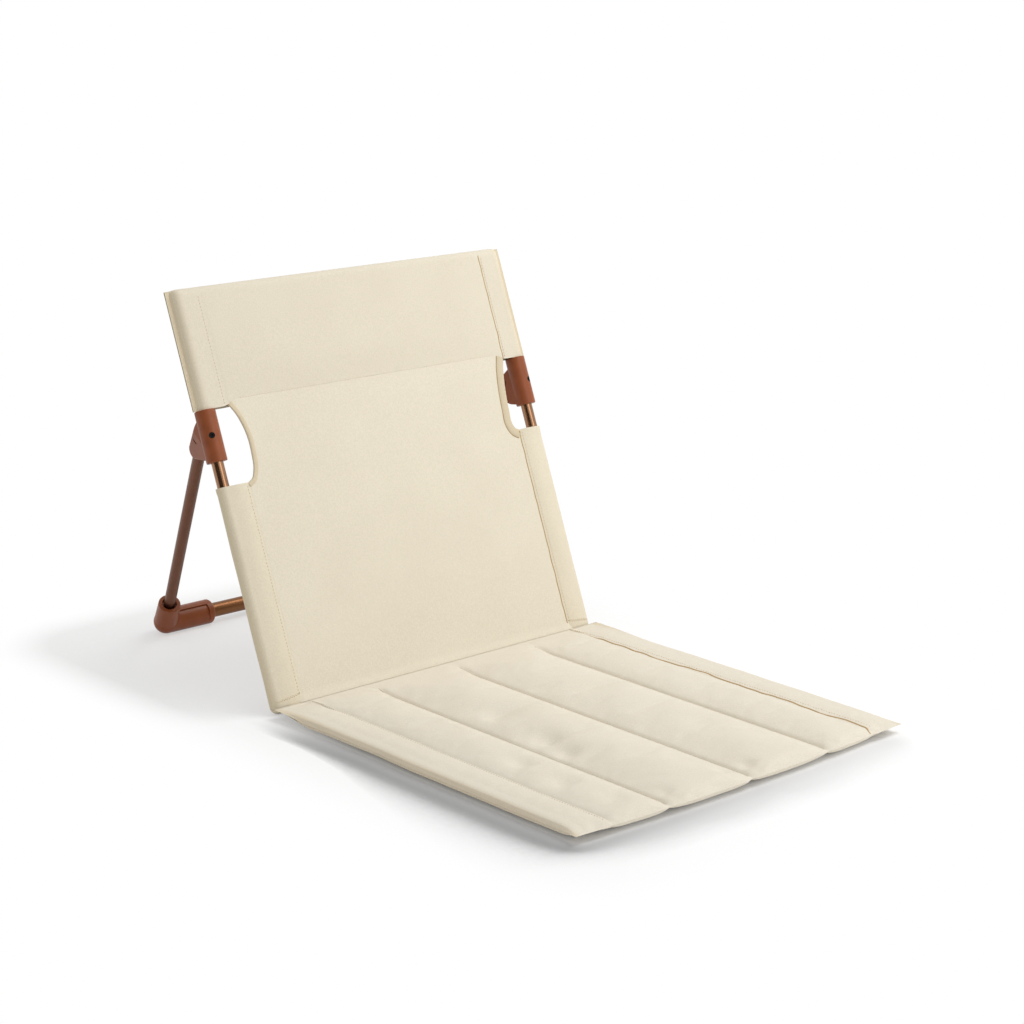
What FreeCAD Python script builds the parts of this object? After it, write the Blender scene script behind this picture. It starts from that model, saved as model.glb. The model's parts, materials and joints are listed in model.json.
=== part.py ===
import FreeCAD, Part
import math
import os
from FreeCAD import Placement, Rotation, Vector

os.makedirs("parts", exist_ok=True)

# Back frame: tubes and corner plugs
UPRIGHT_SPACING = 434.0
RECLINE = 21.5
TOP_TUBE_V = 450.0
TUBE_D = 13.0
TUBE_WALL = 1.1
CORNER_ARM = 9.0
SPIGOT_LENGTH = 16.0
PLUG_FIT = 0.05

# Hinge hub on each upright: a sleeve and a hollow wedge in which the leg swings
HINGE_V = 299.5
SLEEVE_LENGTH = 56.0
SLEEVE_D = 22.5
SLEEVE_EDGE = 1.0
PIVOT_V = 302.5
PIVOT_INSET = 2.0
SWING_GAP = 0.35
HUB_WIDTH = 18.8
HUB_REACH = 44.0
HUB_REAR = 10.8
HUB_TOP_V = 322.0
HUB_LOW_V = 272.5
HUB_CORNER_ROUND = 9.0
HUB_EDGE_ROUND = 2.5
HUB_OUTER = 8.2
SWING_LENGTH = 60.0
PIN_D = 5.0
PIN_HEAD_D = 8.0
PIN_HEAD_THICK = 1.6
PIN_HALF_LENGTH = 8.3
PIN_END_GAP = 0.3
RUNNING_FIT = 0.05

# Rear leg frame
LEG_TAPER = 69.0
FOOT_REACH = 315.0
LEG_PLUG_LENGTH = 18.0
CROSS_TUBE_D = 17.0
CROSS_TUBE_WALL = 1.2
CROSS_TUBE_STOP = 4.0

# Foot elbows
ELBOW_D = 28.6
BARREL_LENGTH = 60.0
COLLAR_LENGTH = 8.0
COLLAR_ROUND = 2.5
WINDOW_DEPTH = 1.8
WINDOW_START = 12.0
WINDOW_SWEEP = 100.0
WINDOW_TOP_ANGLE = 58.0
CUP_LENGTH = 34.0
CUP_MOUTH_D = 25.2
CUP_BASE_D = 28.0
MOUTH_RECESS_D = 16.8
MOUTH_RECESS = 4.0
MOUTH_ROUND = 1.0
LEG_STOP = 12.5

# Screws
SCREW_HEAD_D = 6.0
SCREW_HEAD_THICK = 2.0
SCREW_SHANK_D = 3.0
SCREW_REACH = 4.0
SCREW_FIT = 0.1
SCREW_KEY_D = 3.2
SCREW_KEY_DEPTH = 1.2
WELL_CLEARANCE = 0.3
WELL_DEPTH = 12.0
SCREW_TURN = 26.0
SEAT_WALL = 1.9
CUP_SCREW_SPAN = 21.0
BARREL_SCREW_SPAN = 40.0

# Back cover
CLOTH = 1.5
COVER_GAP = 0.3
HOOD_V = 327.5
HOOD_STITCH_V = 334.0
HOOD_FLANGE = 5.0
FLANGE_THICK = 3.0
SEAM_INSET = 26.0
LOWER_SLEEVE_V = 244.0
CUTOUT_INSET = 36.0
CUTOUT_ROUND = 9.5
BINDING_WIDTH = 9.0
BINDING_THICK = 0.8
TUNNEL_HEIGHT = 26.0

# Fold seam and seat mat
FOLD_HEIGHT = 10.0
FOLD_SEAM_D = 3.2
FOLD_SEAM_INSET = 20.0
FOLD_GAP = 0.3
SEAT_LENGTH = 462.0
SEAT_SIDE = 7.0
BAND_WIDTH = 42.0
OUTER_CHANNEL = 71.0
BASE_SHEET = 1.5
SEAT_CLOTH = 1.2
FOAM_GAP = 0.3
STITCH_MARGIN = 3.0
POCKET_END = 12.0
EDGE_HEIGHT = 5.0
REAR_RISE = 30.0
FULL_RISE = 70.0
FRONT_FALL = 60.0
FRONT_ROLL = 15.0

# Seat heights at each station: seam valleys and the crowns between them
HEIGHT_NAMES = ("valley", "band_seam", "band", "outer", "inner")
REAR_EDGE_HEIGHTS = (9.2, 9.0, 9.4, 9.5, 9.6)
REAR_RISE_HEIGHTS = (8.4, 8.8, 10.2, 11.8, 12.8)
FULL_HEIGHTS = (7.4, 8.4, 10.6, 13.6, 15.6)
FRONT_ROLL_HEIGHTS = (6.4, 7.2, 9.0, 10.8, 12.2)
FRONT_EDGE_HEIGHTS = (4.8, 5.2, 5.8, 6.4, 7.0)

# Derived sizes of the back
THETA = math.radians(RECLINE)
HALF = UPRIGHT_SPACING / 2
TUBE_R = TUBE_D / 2
TUBE_BORE = TUBE_R - TUBE_WALL
COVER_IN = TUBE_R + COVER_GAP
COVER_OUT = COVER_IN + CLOTH
SEAM_U = HALF - SEAM_INSET
CUTOUT_U = HALF - CUTOUT_INSET
BOTTOM_V = COVER_OUT / math.cos(THETA)
SLEEVE_R = SLEEVE_D / 2
PIVOT_X = HALF - PIVOT_INSET
SWING_R = TUBE_R + SWING_GAP
PIVOT_SETBACK = SLEEVE_R + SWING_R

# Derived sizes of the fold line and the seat
FOLD_W = COVER_OUT + FOLD_GAP + FOLD_SEAM_D / 2
FOLD_V = (FOLD_HEIGHT - FOLD_W * math.sin(THETA)) / math.cos(THETA)
FOLD_OFFSET = FOLD_V * math.sin(THETA) - FOLD_W * math.cos(THETA)
ELBOW_R = ELBOW_D / 2
FLOOR_LINE_Y = -(FOLD_OFFSET - SEAT_LENGTH + FOOT_REACH + ELBOW_R) / 2
FOLD_Y = FLOOR_LINE_Y + FOLD_OFFSET
SEAT_REAR = FOLD_SEAM_D / 2 + FOLD_GAP
SEAT_HALF = HALF + SEAT_SIDE
BAND_SEAM_X = SEAT_HALF - BAND_WIDTH
CHANNEL_SEAM_X = BAND_SEAM_X - OUTER_CHANNEL

# Derived sizes of the leg frame
PIVOT_Y = FLOOR_LINE_Y + PIVOT_V * math.sin(THETA) + PIVOT_SETBACK * math.cos(THETA)
PIVOT_Z = PIVOT_V * math.cos(THETA) - PIVOT_SETBACK * math.sin(THETA)
LEG_RUN = FLOOR_LINE_Y + FOOT_REACH - PIVOT_Y
LEG_FALL = PIVOT_Z - ELBOW_R
LEG_LEAN = math.atan2(LEG_RUN, LEG_FALL)
LEG_DROP = math.hypot(LEG_RUN, LEG_FALL)
FOLD_ANGLE = LEG_LEAN + THETA
FOOT_X = HALF - LEG_TAPER
CROSS_R = CROSS_TUBE_D / 2

# The back's own frame: X across, Y to the rear, Z up the slope
X_AXIS = Vector(1, 0, 0)
Y_AXIS = Vector(0, 1, 0)
Z_AXIS = Vector(0, 0, 1)
BACK = Placement(Vector(0, FLOOR_LINE_Y, 0), Rotation(X_AXIS, -RECLINE))
LEGS = Placement(Vector(0, PIVOT_Y, PIVOT_Z), Rotation(X_AXIS, math.degrees(LEG_LEAN)))


def save(name, shape, placement=Placement()):
    placed = shape.copy()
    placed.Placement = placement.multiply(placed.Placement)
    placed.exportStep("parts/" + name + ".step")


def mirrored(shape):
    return shape.mirror(Vector(0, 0, 0), X_AXIS)


def save_pair(name, right, placement=Placement()):
    save(name + "_right", right, placement)
    save(name + "_left", mirrored(right), placement)


def rod(radius, start, end):
    line = end - start
    return Part.makeCylinder(radius, line.Length, start, line)


def tube(radius, wall, start, end):
    return rod(radius, start, end).cut(rod(radius - wall, start, end))


def box(low, high):
    size = high - low
    return Part.makeBox(size.x, size.y, size.z, low)


def fused(shapes):
    return shapes[0].multiFuse(shapes[1:]).removeSplitter()


def prism(points, direction):
    return Part.Face(Part.makePolygon(points + points[:1])).extrude(direction)


# A screw across a tube's axis, with the well and holes that it needs
def screw(point, direction, tube_r, seat):
    tip = tube_r - SCREW_REACH
    head_base = point + direction * seat
    head_top = head_base + direction * SCREW_HEAD_THICK
    head = rod(SCREW_HEAD_D / 2, head_base, head_top)
    shank = rod(SCREW_SHANK_D / 2, point + direction * tip, head_base)
    key = rod(SCREW_KEY_D / 2, head_top - direction * SCREW_KEY_DEPTH, head_top)
    solid = head.fuse(shank).cut(key).removeSplitter()
    well = rod(SCREW_HEAD_D / 2 + WELL_CLEARANCE, head_base, head_base + direction * WELL_DEPTH)
    hole = rod(SCREW_SHANK_D / 2 + SCREW_FIT, point, head_base)
    return solid, well.fuse(hole), hole


# The leg's line in its own frame, which matches the back's frame when the leg is folded
foot = Vector(FOOT_X, 0, -LEG_DROP)
hinge_point = Vector(PIVOT_X, 0, 0)
leg_length = (foot - hinge_point).Length
leg_way = (foot - hinge_point).normalize()
leg_side = Vector(-leg_way.z, 0, leg_way.x)
open_way = Rotation(X_AXIS, math.degrees(FOLD_ANGLE)).multVec(leg_way)
open_normal = X_AXIS.cross(open_way).normalize()
pivot = Vector(PIVOT_X, PIVOT_SETBACK, PIVOT_V)


def leg_point(span):
    return hinge_point + leg_way * span


# Upright tubes
corner_low = Vector(HALF, 0, BOTTOM_V)
corner_high = Vector(HALF, 0, TOP_TUBE_V)
arm = Z_AXIS * CORNER_ARM
upright = tube(TUBE_R, TUBE_WALL, corner_low + arm, corner_high - arm)


# A point of the hub's middle plane, along the open leg and square to it
def hub_point(span, offset):
    return pivot + open_way * span + open_normal * offset


# The hub's middle plane at a height up the upright's own line
def hub_root(height):
    gap = Vector(PIVOT_X, 0, height) - pivot
    side_way = Vector(0, open_way.y, open_way.z)
    span = gap.dot(side_way) / side_way.dot(side_way)
    return Vector(PIVOT_X + open_way.x * span, 0, height)


# Hinge hubs: a sleeve with a wedge behind it that follows the open leg
sleeve_low = Vector(HALF, 0, HINGE_V - SLEEVE_LENGTH / 2)
sleeve_high = Vector(HALF, 0, HINGE_V + SLEEVE_LENGTH / 2)
sleeve = rod(SLEEVE_R, sleeve_low, sleeve_high)
sleeve_rims = [edge for edge in sleeve.Edges if isinstance(edge.Curve, Part.Circle)]
sleeve = sleeve.makeFillet(SLEEVE_EDGE, sleeve_rims)
wedge_tip = hub_point(HUB_REACH, HUB_REAR)
wedge_corners = [hub_root(HUB_LOW_V), wedge_tip, hub_root(HUB_TOP_V)]
half_width = X_AXIS * (HUB_WIDTH / 2)
wedge = prism([corner - half_width for corner in wedge_corners], half_width * 2)
tip_edge = [edge for edge in wedge.Edges if (edge.CenterOfMass - wedge_tip).Length < SLEEVE_EDGE]
wedge = wedge.makeFillet(HUB_CORNER_ROUND, tip_edge)
round_face = [face for face in wedge.Faces if isinstance(face.Surface, Part.Cylinder)][0]
wedge_rims = [edge for edge in round_face.Edges if edge.BoundBox.XLength < HUB_WIDTH / 2]
wedge = wedge.makeFillet(HUB_EDGE_ROUND, wedge_rims)
wedge_box = wedge.BoundBox
wedge_limit = Vector(HALF + HUB_OUTER, wedge_box.YMax, wedge_box.ZMax)
wedge = wedge.common(box(Vector(0, wedge_box.YMin, wedge_box.ZMin), wedge_limit))
hub = fused([sleeve, wedge])

# Room for the leg: its open place, its folded place, the sweep between them and its turning end
swing_half = leg_side * SWING_R
across = X_AXIS * (SWING_R / -leg_way.z)
swing_low = pivot + leg_way * SWING_LENGTH
corners = [pivot - across, pivot + across, swing_low + swing_half, swing_low - swing_half]
section = Part.Face(Part.makePolygon(corners + corners[:1]))
hub = hub.cut(section.revolve(pivot, X_AXIS, math.degrees(FOLD_ANGLE)))
for way in (leg_way, open_way):
    hub = hub.cut(rod(SWING_R, pivot, pivot + way * SWING_LENGTH))
end_lean = X_AXIS * (-leg_way.x * SWING_R)
hub = hub.cut(rod(SWING_R, pivot - across, pivot + across + end_lean))
hub = hub.cut(rod(TUBE_R + PLUG_FIT, sleeve_low, sleeve_high))

# Hinge pins: a head in a recess on the inner side, a blind end on the outer side
pin_seat = pivot - X_AXIS * PIN_HALF_LENGTH
pin_end = pivot + X_AXIS * PIN_HALF_LENGTH
pin_head = rod(PIN_HEAD_D / 2, pin_seat - X_AXIS * PIN_HEAD_THICK, pin_seat)
pin_shaft = rod(PIN_D / 2, pin_seat, pin_end - X_AXIS * PIN_END_GAP)
save_pair("hinge_pin", pin_head.fuse(pin_shaft).removeSplitter(), BACK)
hub = hub.cut(rod(PIN_D / 2 + RUNNING_FIT, pin_seat, pin_end))
hub = hub.cut(rod(PIN_HEAD_D / 2 + WELL_CLEARANCE, pin_seat - X_AXIS * SLEEVE_R, pin_seat))

# A turned screw fixes each hub to its upright
turn = math.radians(SCREW_TURN)
screw_way = Vector(math.sin(turn), -math.cos(turn), 0)
sleeve_screw, sleeve_well, upright_hole = screw(
    Vector(HALF, 0, HINGE_V), screw_way, TUBE_R, TUBE_R + SEAT_WALL
)
save_pair("upright_tube", upright.cut(upright_hole), BACK)
save_pair("hinge_hub", hub.cut(sleeve_well), BACK)
save("hub_screws", Part.makeCompound([sleeve_screw, mirrored(sleeve_screw)]), BACK)

# Top and bottom cross tubes, with a plug in every corner of the frame
for name, height in (("top", TOP_TUBE_V), ("bottom", BOTTOM_V)):
    reach = HALF - CORNER_ARM
    ends = Vector(-reach, 0, height), Vector(reach, 0, height)
    save(name + "_cross_tube", tube(TUBE_R, TUBE_WALL, *ends), BACK)
    corner = Vector(HALF, 0, height)
    plug = [Part.makeSphere(TUBE_R, corner)]
    along = Z_AXIS if name == "bottom" else Z_AXIS * -1
    for way in (along, X_AXIS * -1):
        shoulder = corner + way * CORNER_ARM
        plug.append(rod(TUBE_R, corner, shoulder))
        plug.append(rod(TUBE_BORE - PLUG_FIT, shoulder, shoulder + way * SPIGOT_LENGTH))
    save_pair(name + "_corner_plug", fused(plug), BACK)

# Foot elbows: a cup for the leg and a barrel for the rear cross tube
barrel_end = foot - X_AXIS * BARREL_LENGTH
barrel = rod(ELBOW_R, foot, barrel_end)
barrel_rim = [edge for edge in barrel.Edges if edge.BoundBox.XMax < barrel_end.x + COLLAR_ROUND]
barrel = barrel.makeFillet(COLLAR_ROUND, barrel_rim)
window_near = foot - X_AXIS * WINDOW_START
window_far = barrel_end + X_AXIS * COLLAR_LENGTH
step_turn = Rotation(X_AXIS, -math.degrees(LEG_LEAN) - WINDOW_TOP_ANGLE)
step_way = step_turn.multVec(Y_AXIS * -1)
step_low = step_way * (ELBOW_R - 2 * WINDOW_DEPTH)
step_high = step_way * (ELBOW_R + WINDOW_DEPTH)
step_corners = [window_near + step_low, window_far + step_low]
step_corners += [window_far + step_high, window_near + step_high]
step_face = Part.Face(Part.makePolygon(step_corners + step_corners[:1]))
window = step_face.revolve(foot, X_AXIS, WINDOW_SWEEP)
lowered = step_way * -WINDOW_DEPTH
window = window.cut(rod(ELBOW_R, window_near + lowered, window_far + lowered))
cup_mouth = leg_length - CUP_LENGTH
cup = Part.makeCone(CUP_BASE_D / 2, CUP_MOUTH_D / 2, CUP_LENGTH, foot, leg_way * -1)
cup_rim = [edge for edge in cup.Edges if (edge.CenterOfMass - leg_point(cup_mouth)).Length < MOUTH_ROUND]
cup = cup.makeFillet(MOUTH_ROUND, cup_rim)
elbow = fused([barrel.cut(window), Part.makeSphere(ELBOW_R, foot), cup])
recess = rod(MOUTH_RECESS_D / 2, leg_point(cup_mouth + MOUTH_RECESS), leg_point(cup_mouth - MOUTH_RECESS))
cup_bore = rod(TUBE_R + PLUG_FIT, leg_point(leg_length - LEG_STOP), leg_point(cup_mouth))
cross_stop = foot - X_AXIS * CROSS_TUBE_STOP
barrel_bore = rod(CROSS_R + PLUG_FIT, cross_stop, barrel_end)
cup_screw, cup_well, leg_hole = screw(
    leg_point(leg_length - CUP_SCREW_SPAN), Y_AXIS, TUBE_R, TUBE_R + 2 * SEAT_WALL
)
barrel_screw, barrel_well, cross_hole = screw(
    foot - X_AXIS * BARREL_SCREW_SPAN, Y_AXIS, CROSS_R, CROSS_R + SEAT_WALL
)
for cutter in (recess, cup_bore, barrel_bore, cup_well, barrel_well):
    elbow = elbow.cut(cutter)
save_pair("foot_elbow", elbow, LEGS)

# Leg tubes with a round end and a plug at the hinge pin, rear cross tube and the screws that hold them
pin_half = X_AXIS * TUBE_D
pin_hole = rod(PIN_D / 2 + RUNNING_FIT, hinge_point - pin_half, hinge_point + pin_half)
leg_top = leg_point(-TUBE_D)
leg_corners = rod(TUBE_D, leg_top, hinge_point).cut(rod(TUBE_R, hinge_point - pin_half, hinge_point + pin_half))
leg_tube = tube(TUBE_R, TUBE_WALL, leg_top, leg_point(leg_length - LEG_STOP)).cut(leg_corners)
save_pair("leg_tube", leg_tube.cut(pin_hole).cut(leg_hole), LEGS)
leg_plug = rod(TUBE_BORE - PLUG_FIT, leg_top, leg_point(LEG_PLUG_LENGTH)).cut(leg_corners)
save_pair("leg_plug", leg_plug.cut(pin_hole), LEGS)
cross_far = Vector(-cross_stop.x, cross_stop.y, cross_stop.z)
cross_tube = tube(CROSS_R, CROSS_TUBE_WALL, cross_stop, cross_far)
cross_tube = cross_tube.cut(cross_hole).cut(mirrored(cross_hole))
save("rear_cross_tube", cross_tube, LEGS)
right_screws = [cup_screw, barrel_screw]
leg_screws = right_screws + [mirrored(item) for item in right_screws]
save("leg_screws", Part.makeCompound(leg_screws), LEGS)


# Headrest hood: a pocket round the top of the frame, sewn from a middle and two side sleeves
def pocket(radius):
    top = Vector(0, 0, TOP_TUBE_V)
    shapes = [box(Vector(-HALF, -radius, HOOD_V), Vector(HALF, radius, TOP_TUBE_V))]
    shapes.append(rod(radius, top - X_AXIS * HALF, top + X_AXIS * HALF))
    for side in (-HALF, HALF):
        shapes.append(rod(radius, Vector(side, 0, HOOD_V), Vector(side, 0, TOP_TUBE_V)))
        shapes.append(Part.makeSphere(radius, Vector(side, 0, TOP_TUBE_V)))
    return fused(shapes)


hood = pocket(COVER_OUT).cut(pocket(COVER_IN))
above = TOP_TUBE_V + COVER_OUT
middle = box(
    Vector(-SEAM_U, -SLEEVE_D, HOOD_STITCH_V),
    Vector(SEAM_U, SLEEVE_D, above + COVER_OUT),
)
save("headrest_hood", hood.common(middle), BACK)
outside = box(
    Vector(SEAM_U, -SLEEVE_D, HOOD_V),
    Vector(HALF + SLEEVE_D, SLEEVE_D, above + COVER_OUT),
)
flange = box(
    Vector(HALF + COVER_IN + CLOTH / 2, -FLANGE_THICK / 2, HOOD_V),
    Vector(HALF + COVER_OUT + HOOD_FLANGE, FLANGE_THICK / 2, TOP_TUBE_V),
)
save_pair("upper_sleeve", hood.common(outside).fuse(flange).removeSplitter(), BACK)


# Back panel with a rounded cut-out on each side, bound by a strip
def cutout(grow, front_w, rear_w):
    low = Vector(CUTOUT_U - grow, -front_w, LOWER_SLEEVE_V - grow)
    high = Vector(HALF, -rear_w, HOOD_V + grow)
    shape = box(low, high)
    inner = [edge for edge in shape.Edges if edge.BoundBox.XMax < low.x + CLOTH]
    inner = [edge for edge in inner if edge.BoundBox.ZLength < CLOTH]
    return shape.makeFillet(CUTOUT_ROUND + grow, inner)


opening = cutout(0, SLEEVE_D, -SLEEVE_D)
panel = box(
    Vector(-SEAM_U, -COVER_OUT, BOTTOM_V),
    Vector(SEAM_U, -COVER_IN, HOOD_STITCH_V),
)
save("back_panel", panel.cut(opening).cut(mirrored(opening)), BACK)
binding = cutout(BINDING_WIDTH, COVER_OUT + BINDING_THICK, COVER_OUT).cut(opening)
binding_limit = box(
    Vector(0, -SLEEVE_D, BOTTOM_V),
    Vector(SEAM_U, SLEEVE_D, HOOD_STITCH_V),
)
save_pair("cutout_binding", binding.common(binding_limit), BACK)


# A sleeve's loop in plan: flat on the front, round the tube, straight back to its seam
def loop_points(reach):
    seam = Vector(-reach, -COVER_IN + CLOTH, 0)
    swing = math.atan2(-seam.y, reach) + math.asin(COVER_OUT / seam.Length)
    away = Vector(-math.sin(swing), math.cos(swing), 0)
    back = Vector(-math.cos(swing), -math.sin(swing), 0)
    inner = away * COVER_IN
    meet = inner + back * ((-COVER_IN - inner.y) / back.y)
    return seam, away, meet


def loop_wire(points, radius, away):
    start = Vector(0, -radius, 0)
    end = away * radius
    edges = [
        Part.Arc(start, Vector(1, -1, 0).normalize() * radius, X_AXIS * radius).toShape(),
        Part.Arc(X_AXIS * radius, (X_AXIS + away).normalize() * radius, end).toShape(),
    ]
    path = [end] + points + [start]
    edges += [Part.makeLine(path[i], path[i + 1]) for i in range(len(path) - 1)]
    return Part.Wire(edges)


seam, away, meet = loop_points(HALF - SEAM_U)
front_corner = Vector(seam.x, -COVER_OUT, 0)
loop_outer = Part.Face(loop_wire([seam, front_corner], COVER_OUT, away))
loop_inner = Part.Face(loop_wire([meet], COVER_IN, away))
loop_height = Z_AXIS * (LOWER_SLEEVE_V - BOTTOM_V)
lower = loop_outer.extrude(loop_height).cut(loop_inner.extrude(loop_height))
lower.translate(corner_low)


def corner_round(radius):
    inward = corner_low - X_AXIS * (HALF - SEAM_U)
    return fused([Part.makeSphere(radius, corner_low), rod(radius, inward, corner_low)])


below = box(
    Vector(SEAM_U, -SLEEVE_D, BOTTOM_V - SLEEVE_D),
    Vector(HALF + SLEEVE_D, SLEEVE_D, BOTTOM_V),
)
corner_cap = corner_round(COVER_OUT).cut(corner_round(COVER_IN)).common(below)
lower = lower.fuse(corner_cap).cut(corner_round(COVER_IN)).removeSplitter()
save_pair("lower_sleeve", lower, BACK)

# Bottom tunnel: a strip from the panel's back, under the bottom tube, to the fold seam
seam, away, meet = loop_points(TUNNEL_HEIGHT)
tunnel_end = Vector(seam.x, -COVER_IN, 0)
strip_path = [away * COVER_OUT, seam, tunnel_end, meet, away * COVER_IN]
strip_edges = [Part.makeLine(strip_path[i], strip_path[i + 1]) for i in range(len(strip_path) - 1)]
for radius in (COVER_IN, COVER_OUT):
    start = Vector(0, -radius, 0)
    turn_point = Vector(1, -1, 0).normalize() * radius
    strip_edges.append(Part.Arc(start, turn_point, X_AXIS * radius).toShape())
    turn_point = (X_AXIS + away).normalize() * radius
    strip_edges.append(Part.Arc(X_AXIS * radius, turn_point, away * radius).toShape())
strip_edges.append(Part.makeLine(Vector(0, -COVER_IN, 0), Vector(0, -COVER_OUT, 0)))
tunnel = Part.Face(Part.Wire(Part.__sortEdges__(strip_edges))).extrude(Z_AXIS * (2 * SEAM_U))
tunnel.rotate(Vector(0, 0, 0), Y_AXIS, 90)
tunnel.translate(Vector(-SEAM_U, 0, BOTTOM_V))
save("bottom_sleeve", tunnel, BACK)

# Fold seam between the back and the seat
fold_half = SEAT_HALF - FOLD_SEAM_INSET
fold_point = Vector(0, FOLD_Y, FOLD_HEIGHT)
save("fold_seam", rod(FOLD_SEAM_D / 2, fold_point - X_AXIS * fold_half, fold_point + X_AXIS * fold_half))

# Seat mat: heights along its length, measured forward from the fold line
STATIONS = (
    (SEAT_REAR, REAR_EDGE_HEIGHTS),
    (REAR_RISE, REAR_RISE_HEIGHTS),
    (FULL_RISE, FULL_HEIGHTS),
    (SEAT_LENGTH - FRONT_FALL, FULL_HEIGHTS),
    (SEAT_LENGTH - FRONT_ROLL, FRONT_ROLL_HEIGHTS),
    (SEAT_LENGTH, FRONT_EDGE_HEIGHTS),
)


def heights_at(span):
    for (near, low), (far, high) in zip(STATIONS, STATIONS[1:]):
        if span <= far:
            share = (span - near) / (far - near)
            return tuple(a + (b - a) * share for a, b in zip(low, high))
    return STATIONS[-1][1]


def seat_point(x, span, z):
    return Vector(x, FOLD_Y - span, z)


def crown(left, right, height):
    top = Vector((left.x + right.x) / 2, left.y, height)
    return Part.Arc(left, top, right).toShape()


def mat_section(span, heights):
    valley, band_seam, band, outer, inner = heights
    edge = min(EDGE_HEIGHT, valley - SEAT_CLOTH)
    right = [
        seat_point(0, span, valley),
        seat_point(CHANNEL_SEAM_X, span, valley),
        seat_point(BAND_SEAM_X, span, band_seam),
        seat_point(SEAT_HALF, span, edge),
    ]
    left = [Vector(-point.x, point.y, point.z) for point in reversed(right[1:])]
    tops = left + right
    peaks = (band, outer, inner, inner, outer, band)
    edges = [crown(tops[i], tops[i + 1], peaks[i]) for i in range(len(peaks))]
    low_right = seat_point(SEAT_HALF, span, BASE_SHEET)
    low_left = seat_point(-SEAT_HALF, span, BASE_SHEET)
    edges.append(Part.makeLine(tops[-1], low_right))
    edges.append(Part.makeLine(low_right, low_left))
    edges.append(Part.makeLine(low_left, tops[0]))
    return Part.Wire(edges)


def channel(left, right, peak, gap):
    spans = [POCKET_END + gap, REAR_RISE, FULL_RISE]
    spans += [SEAT_LENGTH - FRONT_FALL, SEAT_LENGTH - FRONT_ROLL - gap]
    sections = []
    for span in spans:
        heights = dict(zip(HEIGHT_NAMES, heights_at(span)))
        side = heights["valley"] - SEAT_CLOTH - gap
        top = heights[peak] - SEAT_CLOTH - gap
        corners = [
            seat_point(left + STITCH_MARGIN + gap, span, side),
            seat_point(right - STITCH_MARGIN - gap, span, side),
            seat_point(right - STITCH_MARGIN - gap, span, BASE_SHEET),
            seat_point(left + STITCH_MARGIN + gap, span, BASE_SHEET),
        ]
        edges = [crown(corners[0], corners[1], top)]
        ends = corners[2:] + corners[:1]
        edges += [Part.makeLine(start, end) for start, end in zip(corners[1:], ends)]
        sections.append(Part.Wire(edges))
    return Part.makeLoft(sections, True, True)


cover = Part.makeLoft([mat_section(span, heights) for span, heights in STATIONS], True, True)
CHANNELS = (
    ("outer_left", -BAND_SEAM_X, -CHANNEL_SEAM_X, "outer"),
    ("inner_left", -CHANNEL_SEAM_X, 0.0, "inner"),
    ("inner_right", 0.0, CHANNEL_SEAM_X, "inner"),
    ("outer_right", CHANNEL_SEAM_X, BAND_SEAM_X, "outer"),
)
for name, left, right, peak in CHANNELS:
    cover = cover.cut(channel(left, right, peak, 0.0))
    save("seat_foam_" + name, channel(left, right, peak, FOAM_GAP))
save("seat_cover", cover)
base = box(
    seat_point(-SEAT_HALF, SEAT_LENGTH, 0),
    seat_point(SEAT_HALF, SEAT_REAR, BASE_SHEET),
)
save("seat_base_sheet", base)
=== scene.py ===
import json
import math

import bpy
import numpy as np
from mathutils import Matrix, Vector, noise
from mathutils.bvhtree import BVHTree


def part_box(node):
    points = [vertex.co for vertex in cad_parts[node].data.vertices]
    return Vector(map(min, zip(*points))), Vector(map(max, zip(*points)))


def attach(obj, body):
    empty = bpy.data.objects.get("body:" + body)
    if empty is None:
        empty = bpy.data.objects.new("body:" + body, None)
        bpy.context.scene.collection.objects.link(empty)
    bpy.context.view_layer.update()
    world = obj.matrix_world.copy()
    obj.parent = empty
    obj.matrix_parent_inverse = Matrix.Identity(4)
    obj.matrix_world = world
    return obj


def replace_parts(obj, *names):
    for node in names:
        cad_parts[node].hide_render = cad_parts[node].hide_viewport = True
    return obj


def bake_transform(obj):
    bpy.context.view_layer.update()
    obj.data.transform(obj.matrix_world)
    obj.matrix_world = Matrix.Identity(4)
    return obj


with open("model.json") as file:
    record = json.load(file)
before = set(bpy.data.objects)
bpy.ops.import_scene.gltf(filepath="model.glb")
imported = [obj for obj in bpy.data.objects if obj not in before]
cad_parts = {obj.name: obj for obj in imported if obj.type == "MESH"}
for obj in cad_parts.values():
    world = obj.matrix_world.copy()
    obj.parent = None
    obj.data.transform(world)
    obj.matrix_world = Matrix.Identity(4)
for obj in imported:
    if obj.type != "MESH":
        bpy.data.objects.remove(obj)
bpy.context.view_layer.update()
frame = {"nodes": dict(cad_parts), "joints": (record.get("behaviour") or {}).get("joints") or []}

# Lengths are millimetres until a point is placed in the world. Waves of the cloth are rows of
# height, length across, length along and seed.
MM = 0.001
SHARP = math.radians(50)

# The lean of the backrest, and places taken from the frame
RECLINE = math.radians(21.5)
SIN, COS = math.sin(RECLINE), math.cos(RECLINE)
upright_low, upright_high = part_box("upright_tube_right")
HALF = (upright_low.x + upright_high.x) / 2 / MM
TUBE_R = (upright_high.x - upright_low.x) / 2 / MM
foot_y, foot_z = upright_low.y / MM + TUBE_R * COS, upright_low.z / MM + TUBE_R * SIN
FLOOR_LINE_Y = foot_y - foot_z * SIN / COS
fold = next(joint for joint in frame["joints"] if joint["name"] == "seat_fold")
FOLD_Y, FOLD_Z = fold["pos_m"][1] / MM, fold["pos_m"][2] / MM
FOLD_TURN = math.radians(fold["range_deg"][1])

# Backrest cover: across u, to the rear w, up the slope v
TOP_V, BOTTOM_V = 450, 8.92
COVER, CLOTH = 8.3, 1.2
STITCH_V = 334

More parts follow.
